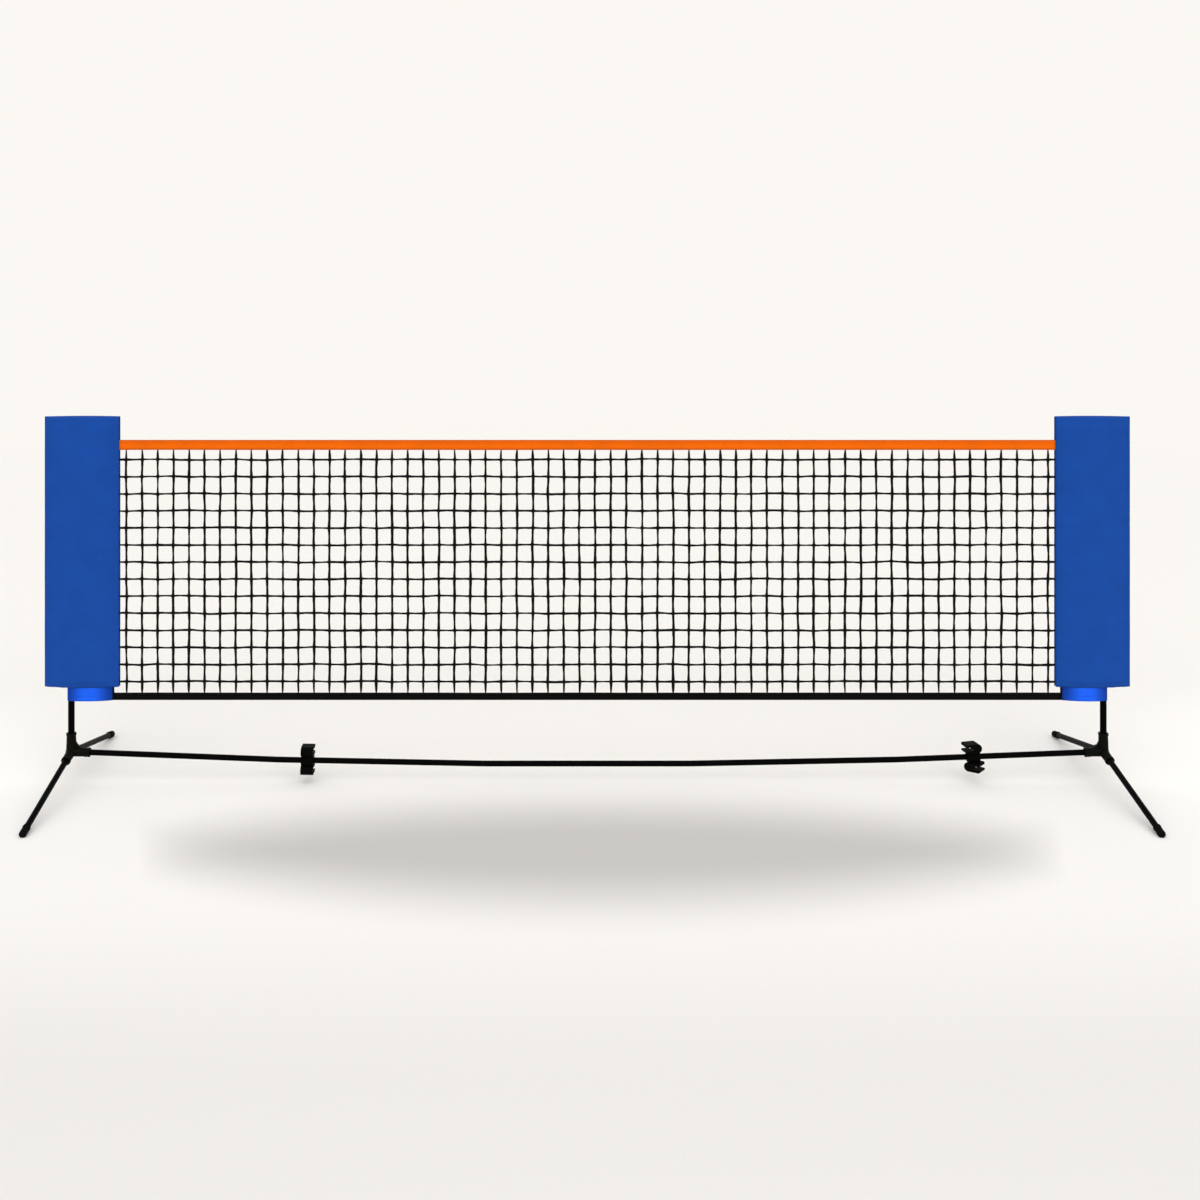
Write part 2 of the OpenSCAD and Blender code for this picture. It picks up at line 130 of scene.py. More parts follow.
class Material:
    """A node material round one Principled shader, with short helpers for its nodes."""

    def __init__(self, name, roughness, metallic=0.0, **sockets):
        self.material = bpy.data.materials.new(name)
        self.material.use_nodes = True
        self.tree = self.material.node_tree
        self.shader = self.tree.nodes["Principled BSDF"]
        self.shader.inputs["Roughness"].default_value = roughness
        self.shader.inputs["Metallic"].default_value = metallic
        for socket, value in sockets.items():
            self.shader.inputs[socket.replace("_", " ")].default_value = value
        self.coordinates = self.node("ShaderNodeTexCoord")

    def node(self, kind, **values):
        made = self.tree.nodes.new(kind)
        for name, value in values.items():
            setattr(made, name, value)
        return made

    def link(self, source, target):
        self.tree.links.new(source, target)

    def along_uv(self, scale):
        mapping = self.node("ShaderNodeMapping")
        mapping.inputs["Scale"].default_value = scale
        self.link(self.coordinates.outputs["UV"], mapping.inputs["Vector"])
        return mapping.outputs["Vector"]

    def noise(self, scale, detail=3.0):
        made = self.node("ShaderNodeTexNoise")
        made.inputs["Scale"].default_value = scale
        made.inputs["Detail"].default_value = detail
        self.link(self.coordinates.outputs["Object"], made.inputs["Vector"])
        return made.outputs["Fac"]

    def wave(self, direction, scale, vector=None, distortion=0.0):
        made = self.node("ShaderNodeTexWave", bands_direction=direction)
        made.inputs["Scale"].default_value = scale
        made.inputs["Distortion"].default_value = distortion
        self.link(vector or self.coordinates.outputs["Object"], made.inputs["Vector"])
        return made.outputs["Fac"]

    def math(self, operation, a, b):
        made = self.node("ShaderNodeMath", operation=operation)
        for socket, value in zip(made.inputs, (a, b)):
            if isinstance(value, (int, float)):
                socket.default_value = value
            else:
                self.link(value, socket)
        return made.outputs["Value"]

    def spread(self, value, low_value, high_value, start=0.3, end=0.7, smooth=False):
        """Maps start to end onto low_value to high_value. Noise lies mostly in the usual range."""
        made = self.node("ShaderNodeMapRange")
        made.interpolation_type = "SMOOTHSTEP" if smooth else "LINEAR"
        made.inputs["From Min"].default_value = start
        made.inputs["From Max"].default_value = end
        made.inputs["To Min"].default_value = low_value
        made.inputs["To Max"].default_value = high_value
        self.link(value, made.inputs["Value"])
        return made.outputs["Result"]

    def colours(self, value, stops):
        """Colours the shader by a value, through stops of (value, colour)."""
        made = self.node("ShaderNodeValToRGB")
        ramp = made.color_ramp
        while len(ramp.elements) < len(stops):
            ramp.elements.new(0.5)
        for element, (place, colour) in zip(ramp.elements, stops):
            element.position = place
            element.color = (*colour, 1)
        self.link(value, made.inputs["Fac"])
        self.link(made.outputs["Color"], self.shader.inputs["Base Color"])

    def dim(self, factor):
        """Scales the colour by a factor that changes from place to place."""
        scaled = self.node("ShaderNodeVectorMath", operation="SCALE")
        self.link(self.shader.inputs["Base Color"].links[0].from_socket, scaled.inputs[0])
        self.link(factor, scaled.inputs["Scale"])
        self.link(scaled.outputs["Vector"], self.shader.inputs["Base Color"])

    def from_middle(self, axis, low_edge, high_edge):
        """0 halfway between two places on an axis, 1 at both, and the same at the other end."""
        place = self.node("ShaderNodeSeparateXYZ")
        self.link(self.coordinates.outputs["Object"], place.inputs[0])
        offset = self.math("SUBTRACT", self.math("ABSOLUTE", place.outputs[axis], 0),
                           (low_edge + high_edge) / 2)
        return self.math("DIVIDE", self.math("ABSOLUTE", offset, 0), (high_edge - low_edge) / 2)

    def rough(self, value):
        self.link(value, self.shader.inputs["Roughness"])

    def bump(self, height, strength, distance):
        made = self.node("ShaderNodeBump")
        made.inputs["Strength"].default_value = strength
        made.inputs["Distance"].default_value = distance
        self.link(height, made.inputs["Height"])
        self.link(made.outputs["Normal"], self.shader.inputs["Normal"])


def shade(colour, factor):
    return tuple(channel * factor for channel in colour)


def powder_coat(name, colour):
    """A thin coat with handling patches and a fine orange peel."""
    made = Material(name, roughness=0.38, Specular_IOR_Level=0.02)
    patches = made.noise(scale=9, detail=5)
    made.colours(patches, [(0.3, shade(colour, 0.8)), (0.62, colour), (0.8, shade(colour, 1.5))])
    made.rough(made.spread(made.noise(scale=60), 0.34, 0.5))
    made.bump(made.noise(scale=1100, detail=2), strength=0.12, distance=0.0004)
    return made.material


def moulded(name, colour, roughness, gloss=0.03):
    """A moulding with flow clouds and the grain of its mould."""
    made = Material(name, roughness, Specular_IOR_Level=gloss)
    clouds = made.noise(scale=30, detail=5)
    made.colours(clouds, [(0.3, shade(colour, 0.82)), (0.55, colour), (0.78, shade(colour, 1.35))])
    made.rough(made.spread(made.noise(scale=150), roughness - 0.06, roughness + 0.1))
    made.bump(made.noise(scale=1600, detail=3), strength=0.25, distance=0.0004)
    return made.material


def zinc(name, colour):
    """Plated steel with the fine marks of its turning."""
    made = Material(name, roughness=0.32, metallic=1.0)
    made.colours(made.noise(scale=70, detail=6), [(0.3, shade(colour, 0.75)), (0.7, colour)])
    made.rough(made.spread(made.noise(scale=240, detail=4), 0.25, 0.45))
    made.bump(made.wave("X", 900, distortion=3.0), strength=0.08, distance=0.0002)
    return made.material


WAVE_TURN = 20


def woven(name, colour, thread, roughness, sheen, dark_edges=None):
    """Plain weave whose threads run along X and Z, a thread's pitch apart. Its last argument, if
    given, paints shade into the colour towards two edges, where a round cloth would turn from the
    light: the axis, the two edges, where between middle and edge the painted shade begins, and how
    dark it is at its edge. A wave texture's scale counts in steps of WAVE_TURN radians."""
    made = Material(name, roughness, Sheen_Weight=sheen, Sheen_Roughness=0.5,
                    Specular_IOR_Level=0.06)
    bands = math.pi / thread / WAVE_TURN
    warp = made.wave("X", bands)
    weft = made.wave("Z", bands)
    cloudy = made.noise(scale=14, detail=5)
    weave = made.math("ADD", made.math("MULTIPLY", warp, 0.5), made.math("MULTIPLY", weft, 0.5))
    tone = made.math("ADD", made.math("MULTIPLY", cloudy, 0.7), made.math("MULTIPLY", weave, 0.3))
    made.colours(tone, [(0.25, shade(colour, 0.88)), (0.5, colour), (0.8, shade(colour, 1.12))])
    # Painted shade: the colour darkens from the middle towards both edges.
    if dark_edges:
        axis, edges, start, darkest = dark_edges
        made.dim(made.spread(made.from_middle(axis, *edges), 1, darkest, start, 1, True))
    made.rough(made.spread(cloudy, roughness - 0.05, roughness + 0.08))
    made.bump(weave, strength=0.5, distance=thread * 0.35)
    return made.material


LAID_STRANDS = 3


def twisted(name, colour, pitch, roughness):
    """Laid twine: its strands run round each piece as its UV map's second axis runs along it."""
    made = Material(name, roughness, Sheen_Weight=0.02, Sheen_Roughness=0.6,
                    Specular_IOR_Level=0.08)
    vector = made.along_uv((LAID_STRANDS, 1 / pitch, 1))
    lay = made.wave("DIAGONAL", 2 * math.pi / WAVE_TURN, vector)
    fuzz = made.noise(scale=500, detail=4)
    made.colours(made.math("MULTIPLY", made.math("ADD", lay, fuzz), 0.5),
                 [(0.25, shade(colour, 0.55)), (0.6, colour), (0.85, shade(colour, 1.5))])
    made.rough(made.spread(fuzz, roughness - 0.06, roughness + 0.06))
    made.bump(made.math("ADD", lay, made.math("MULTIPLY", fuzz, 0.35)), strength=0.6,
              distance=0.0006)
    return made.material


BLACK_STEEL = (0.0010, 0.0010, 0.0010)
BLACK_NYLON = (0.0045, 0.0049, 0.0033)
CLIP_NYLON = (0.0021, 0.0022, 0.0018)
BLACK_RUBBER = (0.004, 0.004, 0.004)
BLACK_ZINC = (0.012, 0.012, 0.013)
ORANGE = (0.80, 0.128, 0.001)
BLACK = (0.0012, 0.0012, 0.0013)
BLACK_THREAD = (0.03, 0.03, 0.03)
TWINE = (0.003, 0.003, 0.0034)
ROYAL_BLUE = (0.008, 0.062, 0.32)
BRIGHT_BLUE = (0.012, 0.115, 0.85)
WHITE_CORD = (0.62, 0.62, 0.58)
WEBBING_YARN = 0.0014
OXFORD_YARN = 0.0009
THREAD_LAY = 0.0012
TWINE_LAY = 0.009
CORD_LAY = 0.010

steel = powder_coat("powder_coated_steel", BLACK_STEEL)
nylon = moulded("moulded_nylon", BLACK_NYLON, roughness=0.42)
clip_nylon = moulded("moulded_clip_nylon", CLIP_NYLON, roughness=0.5, gloss=0.015)
rubber = moulded("rubber", BLACK_RUBBER, roughness=0.75)
dark_metal = zinc("black_zinc_plated_steel", BLACK_ZINC)
# The orange webbing has painted shade along the top tape's top and bottom edges.
orange_webbing = woven("orange_webbing", ORANGE, WEBBING_YARN, roughness=0.7, sheen=0.01,
                       dark_edges=("Z", TOP_TAPE_Z, 0.5, 0.7))
black_webbing = woven("black_webbing", BLACK, WEBBING_YARN, roughness=0.75, sheen=0.01)
cover_cloth = woven("royal_blue_oxford_cloth", ROYAL_BLUE, OXFORD_YARN, roughness=0.72,
                    sheen=0.015)
# The sleeve cloth has painted shade towards both its side edges, as on a round sleeve.
sleeve_cloth = woven("bright_blue_oxford_cloth", BRIGHT_BLUE, OXFORD_YARN, roughness=0.62,
                     sheen=0.015, dark_edges=("X", SLEEVE_X, 0.15, 0.34))
cover_thread = twisted("royal_blue_thread", shade(ROYAL_BLUE, 0.7), THREAD_LAY, roughness=0.6)
sleeve_thread = twisted("bright_blue_thread", shade(BRIGHT_BLUE, 0.7), THREAD_LAY, roughness=0.6)
orange_thread = twisted("orange_thread", shade(ORANGE, 0.8), THREAD_LAY, roughness=0.6)
black_thread = twisted("black_thread", BLACK_THREAD, THREAD_LAY, roughness=0.6)
twine_yarn = twisted("net_twine", TWINE, TWINE_LAY, roughness=0.78)
white_rope = twisted("white_rope", WHITE_CORD, CORD_LAY, roughness=0.7)

FINISHES = {
    "black_steel": steel,
    "zinc_steel": dark_metal,
    "black_moulding": nylon,
    "rubber": rubber,
}
for part in frame["record"]["subparts"]:
    finish = FINISHES.get(part["material_slot"])
    if finish is nylon and "_clip_" in part["node"]:
        finish = clip_nylon
    if finish:
        solid = frame["nodes"][part["node"]]
        solid.data.materials.clear()
        solid.data.materials.append(finish)
        for face in solid.data.polygons:
            face.material_index = 0

# ---- building meshes ----
# Points closer than WELD become one, which clears flat faces where a section closes on itself.

WELD = 1e-6
SEED_SHIFT = (17.3, 9.1, 3.7)
STITCH_LENGTH = 0.0042
STITCH_GAP = 0.0024
STITCH_WIDTH = 0.0011
STITCH_HEIGHT = 0.0006
STITCH_FACES = ((2, 1, 0), (3, 2, 0), (4, 3, 0), (1, 4, 0),
                (1, 2, 5), (2, 3, 5), (3, 4, 5), (4, 1, 5))


class Builder:
    """Collects points, faces and a UV map that runs along each tube, and makes one mesh of them."""

    def __init__(self):
        self.points = []
        self.faces = []
        self.uvs = []
        self.count = 0

    def add(self, points, faces, uvs=None):
        """Adds faces over new points, numbered from 0, with one UV pair for each face corner."""
        self.points.append(np.asarray(points, dtype=float).reshape(-1, 3))
        for face in faces:
            self.faces.append([index + self.count for index in face])
        self.uvs.extend(uvs if uvs is not None else [(0, 0)] * sum(len(f) for f in faces))
        self.count += len(self.points[-1])

    def grid(self, points, closed=False, flip=False):
        """Quads over an n x m array of points; closed joins its last column to its first."""
        n, m = points.shape[:2]
        faces, uvs = [], []
        along = np.zeros(n)
        along[1:] = np.cumsum(np.linalg.norm(np.diff(points[:, 0], axis=0), axis=1))
        for i in range(n - 1):
            for j in range(m if closed else m - 1):
                k = (j + 1) % m
                face = [i * m + j, i * m + k, (i + 1) * m + k, (i + 1) * m + j]
                place = [(j / m, along[i]), ((j + 1) / m, along[i]),
                         ((j + 1) / m, along[i + 1]), (j / m, along[i + 1])]
                faces.append(face[::-1] if flip else face)
                uvs.extend(place[::-1] if flip else place)
        self.add(points, faces, uvs)

    def tube(self, centres, radii, across, up, sides):
        """A closed tube along centres, whose ring planes all lie along across and up."""
        angles = np.linspace(0, 2 * math.pi, sides, endpoint=False)
        ring = np.outer(np.cos(angles), across) + np.outer(np.sin(angles), up)
        rings = centres[:, None, :] + np.asarray(radii)[:, None, None] * ring[None]
        self.grid(rings, closed=True)
        first = self.count - rings.shape[0] * sides
        last = self.count - sides
        self.join([first + j for j in range(sides)], flip=True)
        self.join([last + j for j in range(sides)])

    def join(self, face, flip=False):
        """Adds one face over points that are already there."""
        self.faces.append(face[::-1] if flip else face)
        self.uvs.extend([(0, 0)] * len(face))

    def make(self, name, material, body="net"):
        """Makes the smooth mesh, with no point twice, and rides it on its body."""
        mesh = bpy.data.meshes.new(name)
        mesh.from_pydata(np.concatenate(self.points).tolist(), [], self.faces)
        layer = mesh.uv_layers.new(name="along")
        layer.data.foreach_set("uv", np.asarray(self.uvs, dtype=float).ravel())
        mesh.polygons.foreach_set("use_smooth", [True] * len(mesh.polygons))
        mesh.materials.append(material)
        welded = bmesh.new()
        welded.from_mesh(mesh)
        bmesh.ops.remove_doubles(welded, verts=welded.verts, dist=WELD)
        welded.to_mesh(mesh)
        welded.free()
        mesh.update()
        piece = bpy.data.objects.new(name, mesh)
        bpy.context.scene.collection.objects.link(piece)
        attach(piece, body)
        return piece


def ripple(x, y, z, seed):
    """Smooth noise between about -1 and 1, the same each run. The factors that its callers put on
    places in metres say how quickly it changes along each."""
    dx, dy, dz = SEED_SHIFT
    return noise.noise(Vector((x + dx * seed, y - dy * seed, z + dz * seed)))


def curve_through(knots, between):
    """Catmull-Rom points through the knots, with that many steps from each knot to the next."""
    padded = np.vstack([2 * knots[0] - knots[1], knots, 2 * knots[-1] - knots[-2]])
    points = []
    for i in range(1, len(padded) - 2):
        a, b, c, d = padded[i - 1:i + 3]
        for step in range(between):
            t = step / between
            points.append(0.5 * (2 * b + (c - a) * t + (2 * a - 5 * b + 4 * c - d) * t * t
                                 + (3 * b - 3 * c + d - a) * t ** 3))
    points.append(knots[-1])
    return np.array(points)


def stitch_row(builder, line, outward):
    """A row of lockstitches on a polyline: small pointed beads that stand out along outward."""
    line = np.asarray(line, dtype=float)
    out = np.asarray(outward, dtype=float)
    steps = np.linalg.norm(np.diff(line, axis=0), axis=1)
    places = np.concatenate([[0], np.cumsum(steps)])
    count = int((places[-1] - STITCH_GAP) // (STITCH_LENGTH + STITCH_GAP))
    for k in range(count):
        start = STITCH_GAP + k * (STITCH_LENGTH + STITCH_GAP)
        at = [start, start + STITCH_LENGTH / 2, start + STITCH_LENGTH]
        a, b, c = (np.array([np.interp(s, places, line[:, axis]) for axis in range(3)])
                   for s in at)
        along = (c - a) / np.linalg.norm(c - a)
        side = np.cross(along, out)
        points = [a, b + side * STITCH_WIDTH / 2, b + out * STITCH_HEIGHT,
                  b - side * STITCH_WIDTH / 2, b - out * STITCH_HEIGHT / 2, c]
        builder.add(points, STITCH_FACES)


# ---- the mesh ----

UPRIGHT_R = 0.0035
LEVEL_R = 0.0031
BORDER_R = 0.0032
FULLER = 0.13
UNEVEN = 0.35
JITTER = 0.0012
KINK = 0.0008
STEPS_PER_CELL = 4
STRING_SIDES = 6
BORDER_SIDES = 8
BORDER_RINGS = 90
BORDER_IN = 0.002
KNOT_R = 0.0052
KNOT_SHAPE = (1.08, 0.74, 1.05)
KNOT_RIDGE = 0.13
KNOT_TURN = 2.4
KNOT_RINGS = 7
KNOT_SIDES = 10


def string_x(k):
    return (k - (STRINGS - 1) / 2) * PITCH_X


def row_z(j):
    return FIRST_ROW + j * PITCH_Z


def crossing(k, j):
    """The place where upright string k meets level string j, a little off its true place."""
    dx = ripple(k * 0.71, j * 0.63, 0, seed=1) * JITTER * 2
    dz = ripple(k * 0.67, j * 0.59, 5, seed=2) * JITTER * 2
    dy = ripple(k * 0.23, j * 0.31, 9, seed=3) * TWINE_HALF_DEPTH
    return np.array([string_x(k) + dx, dy, row_z(j) + dz])


def wavy(points, seed):
    """Adds the small kinks that laid twine keeps."""
    out = points.copy()
    for point in out:
        x, y, z = point
        point[0] += ripple(x * 60, z * 60, 0, seed) * KINK
        point[1] += ripple(x * 45, z * 45, 3, seed) * KINK / 2
        point[2] += ripple(x * 60, z * 60, 7, seed) * KINK
    return out


def string_radii(line, radius, cells, seed):
    """A string's radii: it is fuller by its knots, and its lay is looser in some places."""
    loose = np.array([ripple(x * 16, z * 16, 13, seed) for x, y, z in line])
    return radius * (1 + FULLER * np.cos(2 * math.pi * cells) + UNEVEN * loose)


def upright_radii(line):
    """The tapes' stitches press an upright string flat where it runs into them."""
    room = np.minimum(line[:, 2] - BOTTOM_TAPE_Z[1], TOP_TAPE_Z[0] - line[:, 2])
    share = np.clip(room / (2 * UPRIGHT_R), 0, 1)
    free = string_radii(line, UPRIGHT_R, (line[:, 2] - FIRST_ROW) / PITCH_Z, seed=8)
    return TWINE_HALF_DEPTH + (free - TWINE_HALF_DEPTH) * share


def level_radii(line):
    return string_radii(line, LEVEL_R, (line[:, 0] - string_x(0)) / PITCH_X, seed=9)


def knot(builder, place, turn):
    """A net knot: a flat bead with the ridges of the two turns of twine that make it."""
    rings, sides = KNOT_RINGS, KNOT_SIDES
    wide, deep, tall = KNOT_SHAPE
    points = []
    for i in range(1, rings):
        polar = math.pi * i / rings
        for j in range(sides):
            angle = 2 * math.pi * j / sides
            ridge = 1 + KNOT_RIDGE * math.sin(2 * angle + 3 * polar + turn)
            r = KNOT_R * ridge
            points.append([r * wide * math.sin(polar) * math.cos(angle + turn),
                           r * deep * math.sin(polar) * math.sin(angle + turn),
                           r * tall * math.cos(polar)])
    top, bottom = len(points), len(points) + 1
    points.append([0, 0, KNOT_R])
    points.append([0, 0, -KNOT_R])
    faces = []
    for i in range(rings - 2):
        for j in range(sides):
            k = (j + 1) % sides
            faces.append([i * sides + j, (i + 1) * sides + j, (i + 1) * sides + k, i * sides + k])
    last = (rings - 2) * sides
    for j in range(sides):
        k = (j + 1) % sides
        faces.append([top, j, k])
        faces.append([bottom, last + k, last + j])
    builder.add(np.array(points) + place, faces)


def net_twine():
    """All strings, from one tape's fold to the other's, with a border string at each end."""
    builder = Builder()
    inside_top = TOP_TAPE_Z[1] - 2 * FOLD_R
    inside_bottom = BOTTOM_TAPE_Z[0] + 2 * FOLD_R
    edge = NET_HALF - BORDER_IN
    places = [[crossing(k, j) for j in range(ROWS)] for k in range(STRINGS)]
    for k in range(STRINGS):
        ends = [np.array([string_x(k), 0, inside_bottom]), np.array([string_x(k), 0, inside_top])]
        line = wavy(curve_through(np.array([ends[0], *places[k], ends[1]]), STEPS_PER_CELL),
                    seed=4)
        line[[0, -1]] = ends
        builder.tube(line, upright_radii(line), (1, 0, 0), (0, 1, 0), STRING_SIDES)
    for j in range(ROWS):
        ends = [np.array([-edge, 0, row_z(j)]), np.array([edge, 0, row_z(j)])]
        row = [places[k][j] for k in range(STRINGS)]
        line = wavy(curve_through(np.array([ends[0], *row, ends[1]]), STEPS_PER_CELL), seed=5)
        line[[0, -1]] = ends
        builder.tube(line, level_radii(line), (0, 1, 0), (0, 0, 1), STRING_SIDES)
    for side in (-1, 1):
        line = np.array([[side * edge, 0, z]
                         for z in np.linspace(inside_bottom, inside_top, BORDER_RINGS)])
        builder.tube(wavy(line, seed=6), [BORDER_R] * BORDER_RINGS, (1, 0, 0), (0, 1, 0),
                     BORDER_SIDES)
    for k in range(STRINGS):
        for j in range(ROWS):
            knot(builder, places[k][j], KNOT_TURN * ripple(k * 1.7, j * 1.3, 0, seed=7))
    piece = builder.make("net_twine_mesh", twine_yarn)
    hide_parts("net_mesh")


# ---- the tapes ----

TAPE_STEP = 0.012
TAPE_SIDE_STEPS = 7
TAPE_FOLD_STEPS = 14
TAPE_SWAY = 0.0009
TAPE_RISE = 0.0006
STITCH_TO_FOLD = 0.0022
STITCH_TO_EDGE = 0.0038
CORD_RINGS = 180
CORD_SIDES = 14


def tape_outline(height):
    """A tape's section: its outside and then its inside, as (y, distance down from its fold)."""
    gap = TWINE_HALF_DEPTH + SNUG
    shape = []
    for r, half, backwards in ((FOLD_R, gap + CLOTH, False), (FOLD_R - CLOTH, gap, True)):
        neck = math.asin(half / r)
        side = [(-half, height - i * (height - FOLD_R - r * math.cos(neck)) / TAPE_SIDE_STEPS)
                for i in range(TAPE_SIDE_STEPS)]
        fold = []
        for i in range(TAPE_FOLD_STEPS + 1):
            angle = -math.pi + neck + i * (2 * math.pi - 2 * neck) / TAPE_FOLD_STEPS
            fold.append((r * math.sin(angle), FOLD_R - r * math.cos(angle)))
        other = [(-y, down) for y, down in reversed(side)]
        path = side + fold + other
        shape += list(reversed(path)) if backwards else path
    return shape


def folded_tape(name, z_range, upside_down, material, thread, replaced):
    """A tape folded over its cord, with two rows of stitches on each face."""
    height = z_range[1] - z_range[0]
    outline = tape_outline(height)
    turn = -1 if upside_down else 1
    fold_z = z_range[0] if upside_down else z_range[1]
    count = int(2 * NET_HALF / TAPE_STEP) + 1
    xs = np.linspace(-NET_HALF, NET_HALF, count)

    def shift(x, down):
        """How far the cloth stands off its flat shape: more at its free edge."""
        loose = max(0.0, down - 2 * FOLD_R) / height
        dy = ripple(x * 9, down * 40, 0, seed=11) * TAPE_SWAY * loose
        dz = ripple(x * 6, 0, 2, seed=12) * TAPE_RISE * loose
        return dy, dz

    rings = np.zeros((count, len(outline), 3))
    for i, x in enumerate(xs):
        for j, (y, down) in enumerate(outline):
            dy, dz = shift(x, down)
            rings[i, j] = (x, y + dy, fold_z - turn * down + dz)
    builder = Builder()
    builder.grid(rings, closed=True, flip=not upside_down)
    size = len(outline)
    for start, flip in ((0, upside_down), ((count - 1) * size, not upside_down)):
        for j in range(size // 2 - 1):
            builder.join([start + j, start + j + 1, start + size - 2 - j, start + size - 1 - j],
                         flip)
    tape = builder.make(name, material)
    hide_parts(replaced)

    stitches = Builder()
    gap = TWINE_HALF_DEPTH + SNUG + CLOTH
    for down in (2 * FOLD_R + STITCH_TO_FOLD, height - STITCH_TO_EDGE):
        for face in (-1, 1):
            line = []
            for x in xs[1:-1]:
                dy, dz = shift(x, down)
                line.append((x, face * gap + dy, fold_z - turn * down + dz))
            stitch_row(stitches, line, (0, face, 0))
    rows = stitches.make(name + "_stitching", thread)


def tape_cord(name, z, replaced):
    """The straight cord in a tape's fold."""
    builder = Builder()
    line = np.array([[x, 0, z] for x in np.linspace(-NET_HALF, NET_HALF, CORD_RINGS)])
    builder.tube(line, [CORD_R] * CORD_RINGS, (0, 1, 0), (0, 0, 1), CORD_SIDES)
    piece = builder.make(name, white_rope)
    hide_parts(replaced)


# ---- sleeves and covers ----
# Each end is drawn in a frame of its own: d runs from the post's axis to the middle of the net.
# side is -1 at the left end and 1 at the right; face is -1 for the front and 1 for the back.

SLEEVE_SEAM = 0.006
SLEEVE_HEM = 0.012
SLEEVE_ROWS = 70
HEM_ROWS = 10
CLOSE_ROWS_TO = 2 * SLEEVE_HEM
WIDE_ROWS_FROM = 2.4 * SLEEVE_HEM
ROUND_STEPS = 12
SIDE_STEPS = 26
HEM_PINCH = 0.10
HEM_PINCH_REACH = 0.003
EDGE_PINCH = 0.12
EDGE_PINCH_REACH = 0.002
SLEEVE_FOLD = 0.0011
SLEEVE_CREASE = 0.0009
STITCHES_FROM = 8


def placed(side, d, y, z):
    """A point of an end's own frame in the frame of the whole net."""
    return (side * (POST_X - d), y, z)


def sleeve_outline(r, end, width, belly):
    """Half a padded sleeve's section, from its outer edge round the post to its inner seam."""
    shape = []
    for i in range(ROUND_STEPS + 1):
        angle = math.pi - i * math.pi / 2 / ROUND_STEPS
        shape.append((r * math.cos(angle), r * math.sin(angle)))
    for i in range(1, SIDE_STEPS + 1):
        t = i / SIDE_STEPS
        shape.append((t * width, r + t * (end - r) + belly * math.sin(math.pi * t)))
    return shape


def closed_section(half):
    return half + [(d, -y) for d, y in reversed(half)]


def padded_sleeve(side, name, replaced):
    """The padded sleeve: an outer and an inner skin, joined at the hems, with a stitched hem."""
    outer = closed_section(sleeve_outline(SLEEVE_R, SLEEVE_END, SLEEVE_WIDTH, SLEEVE_BELLY))
    inner = closed_section(sleeve_outline(POST_R + POST_SLACK, SLEEVE_END - CLOTH,
                                          SLEEVE_WIDTH - SLEEVE_SEAM, 0))
    zs = np.concatenate([SLEEVE_Z[0] + np.linspace(0, CLOSE_ROWS_TO, HEM_ROWS),
                         np.linspace(SLEEVE_Z[0] + WIDE_ROWS_FROM, SLEEVE_Z[1], SLEEVE_ROWS)])

    def skin(section, swell):
        """The section drawn up the sleeve; swell 1 lets it crease and pinch by its stitches."""
        points = np.zeros((len(zs), len(section), 3))
        for i, z in enumerate(zs):
            up = z - SLEEVE_Z[0]
            pinch = (1 - HEM_PINCH * math.exp(-((up - SLEEVE_HEM) / HEM_PINCH_REACH) ** 2)
                     - EDGE_PINCH * math.exp(-up / EDGE_PINCH_REACH))
            for j, (d, y) in enumerate(section):
                t = min(max(d / SLEEVE_WIDTH, 0), 1)
                bow = math.sin(math.pi * t) * swell
                fold = ripple(d * 26, up * 7, 0, seed=21 + side) * SLEEVE_FOLD * bow
                crease = abs(ripple(d * 9, up * 30, 3, seed=22 + side)) * SLEEVE_CREASE * bow
                scale = 1 - (1 - pinch) * bow
                points[i, j] = placed(side, d, y * scale + math.copysign(fold + crease, y), z)
        return points

    builder = Builder()
    skins = (skin(outer, 1), skin(inner, 0))
    out_flip = side > 0
    builder.grid(skins[0], closed=True, flip=out_flip)
    builder.grid(skins[1], closed=True, flip=not out_flip)
    n = len(outer)
    second = len(zs) * n
    for row, flip in ((0, out_flip), (len(zs) - 1, not out_flip)):
        for j in range(n):
            k = (j + 1) % n
            builder.join([row * n + j, second + row * n + j, second + row * n + k, row * n + k],
                         flip)
    piece = builder.make(name, sleeve_cloth)
    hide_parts(replaced)
    stitches = Builder()
    row = int(np.argmin(abs(zs - SLEEVE_Z[0] - SLEEVE_HEM)))
    half = n // 2
    ring = skins[0][row]
    for part, face in ((ring[STITCHES_FROM:half], 1), (ring[half:-STITCHES_FROM], -1)):
        stitch_row(stitches, part, (0, face, 0))
    stitches.make(name + "_stitching", sleeve_thread)


COVER_OUTER_END = COVER_CLOTH + SNUG
COVER_BELLY = SLEEVE_BELLY + (SLEEVE_R + SLEEVE_END - COVER_END) / 2 + COVER_SLACK
COVER_COLUMNS = 30
COVER_ROWS = 100
TOP_ROWS = 6
TOP_ROUND = 0.004


def cover_half_depth(d):
    """Half a cover's depth: thin at its outer seam, full over the sleeve, open at its inner end."""
    t = (d + COVER_OUTER) / (COVER_OUTER + COVER_INNER)
    return COVER_OUTER_END + t * (COVER_END - COVER_OUTER_END) + COVER_BELLY * math.sin(math.pi * t)


